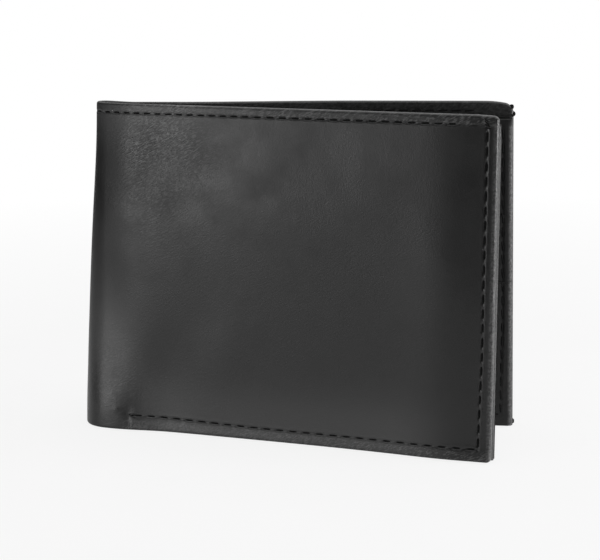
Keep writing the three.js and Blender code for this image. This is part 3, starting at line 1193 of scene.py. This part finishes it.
@dataclass
class CardPockets:
    """The leather card panel of each half with its two card slots."""
    shape: FoldedShape
    cover: Cover
    finish: Material
    start: float = 9.0
    slot_start: float = 14.0
    end: float = 110.95
    foot: float = 0.12
    panel_top: float = 83.5
    panel_depth: float = 2.2
    panel_near_depth: float = 1.6
    panel_leather: float = 0.7
    panel_side_leather: float = 2.4
    panel_side_thin: float = 0.35
    panel_side_tall: float = 24.0
    panel_top_thin: float = 0.9
    panel_top_tall: float = 5.0
    thick_start: float = 94.0
    thick_reach: float = 9.0
    slot_leather: float = 0.4
    slot_side_leather: float = 0.18
    slot_gap_least: float = 0.03
    slot_gap_foot: float = 2.0
    slot_bow: float = 0.3
    slot_hem: float = 0.2
    slot_hem_tall: float = 6.5
    slot_hem_soft: float = 0.7
    slot_hem_pared: float = 0.8
    slot_crease: float = 0.1
    slot_crease_place: float = 1.6
    slot_crease_width: float = 0.35
    upper_foot: float = 12.0
    upper_top: float = 58.0
    lower_top: float = 40.0
    side_round: dict[Half, float] = per_half(front=0.5, back=1.5)
    side_curve: float = 0.98
    side_spare: float = 0.4
    side_rise: dict[Half, float] = per_half(front=2.0, back=0.0)
    rise_start: float = 100.0
    rise_reach: float = 8.0
    rise_foot: float = 70.0
    rim_soft: float = 0.8
    edge_round: float = 0.35
    edge_left: float = 0.1
    step: float = 0.6
    side_step: float = 0.25
    side_fine: float = 3.0
    panel_seam: float = 2.2
    panel_seam_start: float = 2.5
    panel_seam_stop: float = 5.0
    slot_seam: float = 2.2
    slot_seam_stop: float = 1.2
    pitch: float = 3.6
    press_start: float = 0.3
    press_ease: float = 0.8
    dent: SeamDent = SeamDent(groove=0.06, slot=0.24, puff=0.04, inner_puff=0.04)

    def panel_low(self, u: Array, v: Array) -> Array:
        """Depth of the panel's outer side."""
        near = 1.0 - self.shape.stack_at(u)
        gain = self.panel_near_depth - self.panel_depth
        return self.panel_depth + gain * near + self.shape.draw_at(u, v)

    def side(self, u: Array) -> Array:
        """How far a spot is into the thick free side, 0 to 1."""
        return smooth((u - self.thick_start) / self.thick_reach)

    def panel_high(self, u: Array, v: Array) -> Array:
        """Depth of the panel's inner side."""
        past = smooth((v - self.upper_top) / self.panel_side_tall)
        brim = smooth((v - self.panel_top + self.panel_top_tall) / self.panel_top_tall)
        thick = self.panel_side_leather - self.panel_side_thin * past - self.panel_top_thin * brim
        return self.panel_low(u, v) + self.panel_leather + (thick - self.panel_leather) * self.side(u)

    def slot_gap(self, u: Array, v: Array, top: float) -> Array:
        """Room that a slot leaves behind itself."""
        across = bow((u - self.slot_start) / (self.end - self.slot_start))
        rise = smooth((v - self.slot_gap_foot) / (top - self.slot_gap_foot))
        return self.slot_gap_least + self.slot_bow * across * rise

    def slot_thick(self, u: Array, v: Array, top: float) -> Array:
        """Thickness of a slot's leather, pared thin at the free side."""
        side = self.side(u)
        plain = self.slot_leather + (self.slot_side_leather - self.slot_leather) * side
        return plain + self.hem(v, top) * (1.0 - self.slot_hem_pared * side)

    def hem(self, v: Array, top: float) -> Array:
        """Extra thickness of a slot's turned top edge, with a crease below it."""
        turned = self.slot_hem * smooth((v - top + self.slot_hem_tall) / self.slot_hem_soft)
        return turned - self.slot_crease * hump(v - top + self.slot_crease_place, self.slot_crease_width)

    def upper_low(self, u: Array, v: Array) -> Array:
        """Depth of the upper slot's outer side."""
        return self.panel_high(u, v) + self.slot_gap(u, v, self.upper_top)

    def upper_high(self, u: Array, v: Array) -> Array:
        """Depth of the upper slot's inner side."""
        return self.upper_low(u, v) + self.slot_thick(u, v, self.upper_top)

    def lower_low(self, u: Array, v: Array) -> Array:
        """Depth of the lower slot's outer side."""
        return self.upper_high(u, v) + self.slot_gap(u, v, self.lower_top)

    def lower_high(self, u: Array, v: Array) -> Array:
        """Depth of the lower slot's inner side."""
        return self.lower_low(u, v) + self.slot_thick(u, v, self.lower_top)

    def surface(self, u: Array, v: Array) -> Array:
        """Depth of the innermost leather at a spot."""
        slots = np.where(v < self.lower_top, self.lower_high(u, v), self.upper_high(u, v))
        covered = (v < self.upper_top) & (u > self.slot_start)
        return np.where(covered, slots, self.panel_high(u, v))

    def inner_seams(self, half: Half) -> list[Seam]:
        """Rows on the pockets: the edge seam's inner side, the panel's hem and the slots' near side."""
        side, foot = (self.cover.seams[half][name] for name in ("side", "foot"))
        top = self.panel_top - self.panel_seam
        near = self.slot_start + self.slot_seam
        panel_start, panel_stop = self.start + self.panel_seam_start, self.end - self.panel_seam_stop
        slot_stop = self.upper_top - self.slot_seam_stop
        return [
            Seam("side", Course.UP, side.start, top, side.line, side.pitch, side.lift, side.lift_reach),
            Seam("foot", Course.ALONG, foot.start, foot.end, foot.line, foot.pitch),
            Seam("panel", Course.ALONG, panel_start, panel_stop, top, self.pitch),
            Seam("slots", Course.UP, foot.line, slot_stop, near, self.pitch),
        ]

    def side_fall(self, half: Half, u: Array) -> Array:
        """Share of the stack's height that is left where its free side is rounded off."""
        radius = self.side_round[half]
        past = np.clip(u - (self.end - radius), 0.0, radius)
        drop = radius - np.sqrt(radius * radius - self.side_curve * past * past)
        return 1.0 - drop / (self.panel_side_leather + self.side_spare)

    def strip(self, half: Half, start: float, foot: float, top: float, low: DepthField,
              high: DepthField) -> Solid:
        """One leather strip with round edges.

        Args:
            half: which half it lies on.
            start: its near side, from the fold line.
            foot: its lower edge.
            top: its upper edge.
            low: depth of its outer side.
            high: depth of its inner side.

        Returns:
            The closed strip.
        """
        edge, end = self.edge_round, self.end
        step, fine = self.step, self.side_step
        lip = edge * LIP_SHARES
        along = run((start + edge, step), (end - self.side_fine, fine), (end - edge, fine))
        upward = run((foot + edge, step), (top - edge, step))
        u = np.concatenate([start + lip, along, (end - lip)[::-1]])
        v = np.concatenate([foot + lip, upward, (top - lip)[::-1]])
        u, v = np.meshgrid(u, v, indexing="ij")
        fall = self.side_fall(half, u)
        inset = np.minimum(np.minimum(u - start, end - u), np.minimum(v - foot, top - v))
        full = np.sqrt(1.0 - (1.0 - np.clip(inset / edge, 0.0, 1.0)) ** 2)
        full = self.edge_left + (1.0 - self.edge_left) * full
        press = sum(self.dent.sink(seam, u, v) for seam in self.inner_seams(half))
        press = press * smooth((inset - self.press_start) / self.press_ease)
        bottom = self.panel_depth + (low(u, v) - self.panel_depth) * fall
        face = self.panel_depth + (high(u, v) - self.panel_depth) * fall
        middle, thick = (bottom + face) / 2, (face - bottom) / 2
        leaf = self.shape.leaves[half]
        shift = self.shape.broad_at(half, u, v)
        rim = smooth((u - (end - self.side_round[half])) / self.rim_soft)
        rim = rim * (1.0 - smooth((v - self.cover.rim_top[half]) / self.cover.rim_fade))
        rise = smooth((u - self.rise_start) / self.rise_reach)
        rise = rise * smooth((v - self.rise_foot) / (self.panel_top - self.rise_foot))
        v = v + self.side_rise[half] * rise
        inner = leaf.place(u, v, middle + thick * full - press + shift)
        outer = leaf.place(u, v, middle - thick * full + shift)
        return slab_solid(inner, outer, rim)

    def build(self) -> None:
        """Make the panel and slots of both halves."""
        near, foot = self.slot_start, self.foot
        strips = (
            ("panel", "card_panel", self.start, foot, self.panel_top, self.panel_low, self.panel_high),
            ("upper_slot", "card_slot_upper", near, self.upper_foot, self.upper_top,
             self.upper_low, self.upper_high),
            ("lower_slot", "card_slot_lower", near, foot, self.lower_top, self.lower_low, self.lower_high),
        )
        for half in Half:
            for name, node, *outline in strips:
                solid = self.strip(half, *outline)
                piece = solid.make(f"{name}_leather_{half.value}", self.finish, Slot.POCKET)
                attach(piece, half.body)
                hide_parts(f"{node}_{half.value}")


class StitchNodes(NodeBench):
    """The Geometry Nodes tree that sews a row of stitches along a path."""
    numbers: tuple[str, ...] = ("First", "Last", "Length", "Thread", "Dip", "Slant", "Jitter")
    arch_steps: int = 8
    round_steps: int = 10

    def __init__(self) -> None:
        """Build the tree."""
        super().__init__(bpy.data.node_groups.new("stitch_row", "GeometryNodeTree"))
        kinds = {"Path": "Geometry", "Stitches": "Int", **dict.fromkeys(self.numbers, "Float")}
        kinds.update({"Seed": "Int", "Material": "Material"})
        for name, kind in kinds.items():
            self.tree.interface.new_socket(name, in_out="INPUT", socket_type=f"NodeSocket{kind}")
        self.tree.interface.new_socket("Stitches", in_out="OUTPUT", socket_type="NodeSocketGeometry")
        given = self.add("NodeGroupInput").outputs
        curve = self.add("GeometryNodeMeshToCurve", {"Mesh": given["Path"]})
        ends = {"Curve": curve.outputs[0], 4: given["First"], 5: given["Last"]}
        trim = self.add("GeometryNodeTrimCurve", ends, mode="LENGTH")
        spots = self.add("GeometryNodeResampleCurve", {"Curve": trim.outputs[0], "Count": given["Stitches"]})
        outward = self.add("GeometryNodeInputNamedAttribute", {"Name": "outward"}, data_type="FLOAT_VECTOR")
        tangent = self.add("GeometryNodeInputTangent")
        aims = {"Primary Axis": outward.outputs[0], "Secondary Axis": tangent.outputs[0]}
        axes = self.add("FunctionNodeAxesToRotation", aims, primary_axis="Z", secondary_axis="X")
        laid = {"Points": spots.outputs[0], "Instance": self.stitch(given), "Rotation": axes.outputs[0]}
        rows = self.add("GeometryNodeInstanceOnPoints", laid)
        spread = {2: -1.0, 3: 1.0, "Seed": given["Seed"]}
        chance = self.add("FunctionNodeRandomValue", spread, data_type="FLOAT")
        sway = self.math("MULTIPLY_ADD", chance.outputs[1], given["Jitter"], given["Slant"])
        turn = self.add("ShaderNodeCombineXYZ", {"Z": sway})
        turned = {"Instances": rows.outputs[0], "Rotation": turn.outputs[0]}
        spun = self.add("GeometryNodeRotateInstances", turned)
        real = self.add("GeometryNodeRealizeInstances", {"Geometry": spun.outputs[0]})
        soft = self.add("GeometryNodeSetShadeSmooth", {"Geometry": real.outputs[0]})
        dress = {"Geometry": soft.outputs[0], "Material": given["Material"]}
        dressed = self.add("GeometryNodeSetMaterial", dress)
        self.add("NodeGroupOutput", {"Stitches": dressed.outputs[0]})

    def stitch(self, given: bpy.types.NodeOutputs) -> Socket:
        """One stitch: a round thread that arches between two needle holes."""
        half = self.math("MULTIPLY", given["Length"], 0.5)
        minus = self.math("MULTIPLY", half, -1.0)
        down = self.math("MULTIPLY", given["Dip"], -1.0)
        radius = self.math("MULTIPLY", given["Thread"], 0.5)
        start, end, top = (
            self.add("ShaderNodeCombineXYZ", spot).outputs[0]
            for spot in ({"X": minus, "Z": down}, {"X": half, "Z": down}, {"Z": given["Dip"]})
        )
        bends = {"Resolution": self.arch_steps, "Start": start, "Middle": top, "End": end}
        arch = self.add("GeometryNodeCurveQuadraticBezier", bends)
        circle = {"Resolution": self.round_steps, "Radius": radius}
        profile = self.add("GeometryNodeCurvePrimitiveCircle", circle)
        swept = {"Curve": arch.outputs[0], "Profile Curve": profile.outputs[0], "Fill Caps": True}
        return self.add("GeometryNodeCurveToMesh", swept).outputs[0]


@dataclass(frozen=True)
class Lock:
    """A few crossing stitches that lock a seam's end: where they run, which way they face, how they lie."""
    name: str
    half: Half
    start: Triple
    end: Triple
    facing: Triple
    count: int = 2
    length: float = 1.5
    thread: float = 0.36
    dip: float = 0.16
    slant: float = 20.0
    jitter: float = 25.0
    samples: int = 6

    def path(self, shape: FoldedShape) -> tuple[Array, Array]:
        """Points of the run and the directions away from the leather."""
        u, v, depth = np.linspace(self.start, self.end, self.samples).T
        leaf = shape.leaves[self.half]
        away = self.facing[0] * leaf.along + self.facing[1] * leaf.up + self.facing[2] * leaf.inward
        points = shape.leaf_point(self.half, u, v, depth)
        return points, np.broadcast_to(unit(away), points.shape)


def side_end(half: Half) -> Lock:
    """The lock at the top of a half's side seam."""
    start, end = (108.4, 84.4, 0.0), (107.9, 87.0, 0.05)
    return Lock("side_end", half, start, end, (0.0, 0.0, -1.0), count=4, slant=60.0)


def foot_end(half: Half) -> Lock:
    """The lock at the start of a half's foot seam."""
    start, end = (10.6, 4.3, 0.1), (11.6, 3.7, 0.1)
    return Lock("foot_end", half, start, end, (0.0, 0.0, -1.0), length=1.2, thread=0.34, slant=50.0)


LOCKS = (
    side_end(Half.FRONT),
    Lock("corner", Half.FRONT, (110.8, 85.4, 0.6), (110.8, 85.2, 3.4), (1.0, 0.3, 0.0), dip=0.2),
    foot_end(Half.FRONT),
    Lock("corner_high", Half.BACK, (110.7, 86.7, 0.6), (110.8, 86.6, 1.6), (0.7, 0.7, 0.1),
         length=1.1, thread=0.6, dip=0.5, slant=25.0),
    Lock("corner_low", Half.BACK, (111.3, 84.6, 0.4), (111.2, 84.4, 2.4), (1.0, 0.0, 0.1),
         length=1.6, thread=0.5, dip=0.5),
    Lock("foot_corner", Half.BACK, (111.0, 0.6, 0.6), (111.0, 0.65, 3.0), (1.0, 0.0, 0.1),
         length=2.0, thread=0.9, dip=0.6, slant=0.0, jitter=3.0),
    side_end(Half.BACK),
    foot_end(Half.BACK),
)


@dataclass
class Stitching:
    """All rows of stitches, on the outer faces, on the hems' inner side and on the pockets."""
    cover: Cover
    pockets: CardPockets
    binding: Binding
    finish: Material
    thread: float = 0.42
    gap: float = 1.2
    dip: float = 0.12
    slant: float = 4.0
    jitter: float = 3.0
    seed: int = 7
    slot_share: float = 0.72
    hem_sunk: float = 0.02
    pocket_sunk: float = 0.08
    path_step: float = 0.4
    overrun: float = 0.3
    nodes: StitchNodes = field(default_factory=StitchNodes)

    def on_face(self, u: Array, v: Array) -> Array:
        """Depth of the thread in the slots of the outer face."""
        return np.full(np.broadcast(u, v).shape, self.cover.dent.slot * self.slot_share)

    def on_hem(self, u: Array, v: Array) -> Array:
        """Depth of the thread on the hide's inner side."""
        return self.cover.inner_depth(u, v) - self.hem_sunk

    def on_pockets(self, u: Array, v: Array) -> Array:
        """Depth of the thread on the innermost leather."""
        return self.pockets.surface(u, v) - self.pocket_sunk

    def sew(self, name: str, points: Array, outward: Array, count: int,
            lock: Lock | None = None) -> bpy.types.Object:
        """Sew one row.

        Args:
            name: name of the piece.
            points: the row's path from its first to its last hole, in millimetres.
            outward: direction away from the leather along the path.
            count: number of stitches.
            lock: how the stitches lie when they lock a seam's end instead of running along it.

        Returns:
            The row as a plain mesh.
        """
        mesh = bpy.data.meshes.new(name)
        edges = [(k, k + 1) for k in range(len(points) - 1)]
        mesh.from_pydata((points * MM).tolist(), edges, [])
        layer = mesh.attributes.new("outward", "FLOAT_VECTOR", "POINT")
        layer.data.foreach_set("vector", np.ascontiguousarray(outward, dtype=np.float32).ravel())
        piece = linked(name, mesh)
        length = float(path_lengths(points)[-1]) * MM
        pitch = length / count
        lie = lock or self
        values = {
            "Stitches": count,
            "First": pitch / 2,
            "Last": length - pitch / 2,
            "Length": lock.length * MM if lock else pitch - self.gap * MM,
            "Thread": lie.thread * MM,
            "Dip": lie.dip * MM,
            "Slant": math.radians(lie.slant),
            "Jitter": math.radians(lie.jitter),
            "Seed": self.seed,
            "Material": self.finish,
        }
        sewn = piece.modifiers.new("stitches", "NODES")
        sewn.node_group = self.nodes.tree
        for item in self.nodes.tree.interface.items_tree:
            if item.in_out == "INPUT" and item.name in values:
                sewn[item.identifier] = values[item.name]
        graph = bpy.context.evaluated_depsgraph_get()
        row = bpy.data.meshes.new_from_object(piece.evaluated_get(graph), depsgraph=graph)
        piece.modifiers.clear()
        piece.data = row
        row.name = name
        LOG.info("%s: %d stitches, %d faces", name, count, len(row.polygons))
        return piece

    @staticmethod
    def sagged(points: Array, inward: Array, stitch: float) -> Array:
        """How far a straight stitch has to sink at each point so that its ends don't stand off a bend."""
        gone = path_lengths(points)
        before, after = (
            np.stack([np.interp(gone + reach, gone, axis) for axis in points.T], axis=1)
            for reach in (-stitch / 2, stitch / 2)
        )
        return np.maximum((((before + after) / 2 - points) * inward).sum(axis=1), 0.0)

    def skin_rows(self, half: Half, depth: DepthField, side: Side) -> list[bpy.types.Object]:
        """The top seam's rows on one side of the hide, round the fold.

        Args:
            half: which half.
            depth: depth of the thread at unrolled u and v.
            side: side of the hide.

        Returns:
            The sewn rows.
        """
        rows = []
        track = self.cover.tracks[half]
        for name in ("top_near", "top_far"):
            seam = self.cover.seams[half][name]
            first = seam.start if side is Side.OUTER else max(seam.start, track.shape.join)
            inside = (track.u >= first - 1e-6) & (track.u <= seam.end + self.overrun)
            count = round(seam.count * (seam.end - first) / (seam.end - seam.start))
            u = track.u[inside]
            line = Track(track.shape, half, track.t[inside], u)
            v = np.full((u.size, 1), seam.line)
            height = self.cover.rounded(half, u[:, None], v)
            below = depth(u[:, None], v)
            inward = line.inward(seam.line)
            points = line.point(height, below)[:, 0]
            if side is Side.OUTER:
                sag = self.sagged(points, inward, seam.step - self.gap)
                points = line.point(height, below + sag[:, None])[:, 0]
            label = f"{name}_stitches_{side.value}_{half.value}"
            rows.append(self.sew(label, points, -side.facing * inward, count))
        return rows

    def leaf_row(self, half: Half, seam: Seam, depth: DepthField, side: Side) -> bpy.types.Object:
        """A row that lies on one leaf only.

        Args:
            half: which half.
            seam: the row.
            depth: depth of the thread at u and v, on the outer side below the soft face.
            side: side of the half.

        Returns:
            The sewn row.
        """
        shape = self.cover.shape
        u, v = seam.path(self.path_step)
        below = depth(u, v)
        if side is Side.OUTER:
            points = shape.leaf_point(half, u, v, below)
        else:
            points = shape.leaves[half].place(u, v, below + shape.broad_at(half, u, v))
        outward = np.broadcast_to(-side.facing * shape.leaves[half].inward, points.shape)
        return self.sew(f"{seam.name}_stitches_{side.value}_{half.value}", points, outward, seam.count)

    def build(self) -> None:
        """Sew every row of both halves; the top rows' placements are baked, the other rows are tied to their
        half's body.
        """
        for half in Half:
            top_rows = self.skin_rows(half, self.on_face, Side.OUTER)
            top_rows += self.skin_rows(half, self.on_hem, Side.INNER)
            for row in top_rows:
                self.binding.bend(row, half)
            names = half.nodes(["thread_top_seam"], ["thread_top_seam"])
            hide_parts(*names)
            for name in ("side", "foot"):
                row = self.leaf_row(half, self.cover.seams[half][name], self.on_face, Side.OUTER)
                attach(row, half.body)
                if name == "side":
                    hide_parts(f"thread_edge_seam_{half.value}")
            for seam in self.pockets.inner_seams(half):
                row = self.leaf_row(half, seam, self.on_pockets, Side.INNER)
                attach(row, half.body)
                if seam.name == "panel":
                    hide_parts(f"thread_panel_seam_{half.value}")
        for lock in LOCKS:
            points, outward = lock.path(self.cover.shape)
            row = self.sew(f"{lock.name}_lock_{lock.half.value}", points, outward, lock.count, lock)
            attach(row, lock.half.body)


@dataclass(frozen=True)
class SoftLight:
    """One soft box of the studio, with its place and size in millimetres."""
    name: str
    place: Triple
    wide: float
    tall: float
    power: float
    aim: Triple = (0.0, 0.0, 44.0)

    def build(self) -> None:
        """Hang the light."""
        lamp = bpy.data.lights.new(self.name, "AREA")
        lamp.shape = "RECTANGLE"
        lamp.size = self.wide * MM
        lamp.size_y = self.tall * MM
        lamp.energy = self.power
        rig = linked(self.name, lamp)
        spot = Vector(self.place) * MM
        rig.location = spot
        rig.rotation_euler = (Vector(self.aim) * MM - spot).to_track_quat("-Z", "Y").to_euler()


@dataclass
class Studio:
    """Floor, backdrop, lights, sky and camera of the picture."""
    eye: Triple = (57.539, -456.796, 138.557)
    yaw: float = -6.9457
    pitch: float = 11.7557
    roll: float = -0.6163
    lens: float = 107.55
    sensor: float = 36.0
    clip: tuple[float, float] = (0.01, 50.0)
    ambient: float = 0.03
    floor_reach: float = 6000.0
    wall_reach: float = 1500.0
    wall_back: float = 1100.0
    wall_tall: float = 1200.0
    lights: tuple[SoftLight, ...] = (
        SoftLight("key", (-446.0, -401.0, 100.0), 250.0, 140.0, 0.67),
        SoftLight("overhead", (0.0, 40.0, 640.0), 1100.0, 900.0, 3.6),
        SoftLight("edge", (591.0, -40.0, 148.0), 200.0, 200.0, 2.6),
    )

    def camera(self) -> None:
        """Set the camera up at the photo's angle."""
        yaw, pitch, roll = (math.radians(a) for a in (self.yaw, self.pitch, self.roll))
        ahead = Vector((math.sin(yaw) * math.cos(pitch), math.cos(yaw) * math.cos(pitch), -math.sin(pitch)))
        right = Vector((math.cos(yaw), -math.sin(yaw), 0.0))
        up = right.cross(ahead)
        side = math.cos(roll) * right + math.sin(roll) * up
        top = -math.sin(roll) * right + math.cos(roll) * up
        data = bpy.data.cameras.new("camera")
        data.lens = self.lens
        data.sensor_width = self.sensor
        data.clip_start, data.clip_end = self.clip
        rig = linked("camera", data)
        axes = Matrix((side, top, -ahead)).transposed()
        rig.matrix_world = Matrix.Translation(Vector(self.eye) * MM) @ axes.to_4x4()
        bpy.context.scene.camera = rig

    def sky(self) -> None:
        """White to the camera, a dim even light to everything else."""
        world = bpy.data.worlds.new("studio_sky")
        world.use_nodes = True
        bench = NodeBench(world.node_tree)
        seen = bench.add("ShaderNodeLightPath").outputs["Is Camera Ray"]
        strength = bench.remap(seen, 0.0, 1.0, self.ambient, 1.0)
        sky = bench.add("ShaderNodeBackground", {"Color": grey(1.0), "Strength": strength})
        bench.add("ShaderNodeOutputWorld", {"Surface": sky.outputs[0]})
        bpy.context.scene.world = world

    def sheet(self, name: str, corners: list[Triple], paper: Material) -> None:
        """A flat piece of studio paper from four corners in millimetres."""
        mesh = bpy.data.meshes.new(name)
        mesh.from_pydata([tuple(c * MM for c in corner) for corner in corners], [], [(0, 1, 2, 3)])
        mesh.materials.append(paper)
        piece = linked(name, mesh)

    def build(self) -> None:
        """Build the whole studio."""
        paper = StageFinish(near_mirrored=0.5).material()
        wall = StageFinish("studio_wall", mirrored=1.0, near_mirrored=1.0).material()
        far, wide, back, tall = self.floor_reach, self.wall_reach, self.wall_back, self.wall_tall
        floor = [(-far, -far, 0.0), (far, -far, 0.0), (far, far, 0.0), (-far, far, 0.0)]
        upright = [(-wide, back, 0.0), (wide, back, 0.0), (wide, back, tall), (-wide, back, tall)]
        self.sheet("floor", floor, paper)
        self.sheet("backdrop", upright, wall)
        for light in self.lights:
            light.build()
        self.sky()
        self.camera()
        bpy.context.scene.view_settings.view_transform = "Standard"


# Distance of the solid covers' near edge from the fold line, and the extra length along each foot.
COVER_START = 0.9
FOOT_SKEW = {Half.FRONT: 0.0, Half.BACK: 0.9}
# Small hollows and swellings of the outer faces.
DIMPLES = {
    Half.FRONT: (
        Spot(2.0, 30.0, 9.0, 16.0, 1.0),
        Spot(4.4, 6.5, 8.5, 8.0, -0.7),
        Spot(6.9, 5.4, 0.8, 0.8, -0.1),
        Spot(10.2, 4.8, 1.5, 1.8, 0.16),
        Spot(12.4, 8.6, 0.4, 2.6, -0.02),
        Spot(13.4, 8.0, 0.4, 2.0, -0.02),
    ),
    Half.BACK: (
        Spot(8.9, 6.8, 1.7, 2.8, 0.5),
        Spot(10.7, 3.4, 2.2, 1.6, 0.3),
    ),
}
# Broad swellings and hollows that the hide and the pockets share.
SWELLS = {
    Half.FRONT: (
        Spot(97.0, 58.0, 20.0, 46.0, -0.75),
        Spot(82.0, 68.0, 16.0, 26.0, -0.3),
        Spot(98.5, 40.0, 9.0, 55.0, -0.65),
        Spot(13.0, -4.0, 12.0, 9.0, -0.7),
        Spot(95.0, 12.0, 15.0, 30.0, -0.6),
        Spot(8.0, 56.0, 18.0, 40.0, -0.6),
        Spot(60.0, -4.0, 200.0, 20.0, -0.3),
        Spot(23.0, 20.0, 8.0, 16.0, 0.16, 25.0),
        Spot(37.0, 20.0, 8.0, 16.0, -0.16, 25.0),
    ),
    Half.BACK: (
        Spot(90.0, 40.0, 24.0, 60.0, -0.5),
        Spot(60.0, -4.0, 200.0, 12.0, -0.3),
    ),
}


def main() -> None:
    """Dress the whole wallet and set the studio up."""
    logging.basicConfig(level=logging.INFO, format="%(name)s %(message)s")
    leaves = {half: Leaf.from_frame(half, COVER_START, FOOT_SKEW[half]) for half in Half}
    shape = FoldedShape(leaves, dimples=DIMPLES, broad=SWELLS)
    binding = Binding(shape)
    cover = Cover(shape, LeatherFinish("cover_hide").material())
    cover.build(binding)
    lining, divider = ClothFinish("lining_weave"), ClothFinish("divider_weave", level=0.026)
    BillCompartment(shape, lining.material(), divider.material()).build(binding)
    thin_hide = LeatherFinish("pocket_hide", roughness=0.5, grain_mm=0.9, even_grain=0.6)
    pockets = CardPockets(shape, cover, thin_hide.material())
    pockets.build()
    Stitching(cover, pockets, binding, ThreadFinish().material()).build()
    Studio().build()


if __name__ == "__main__":
    main()
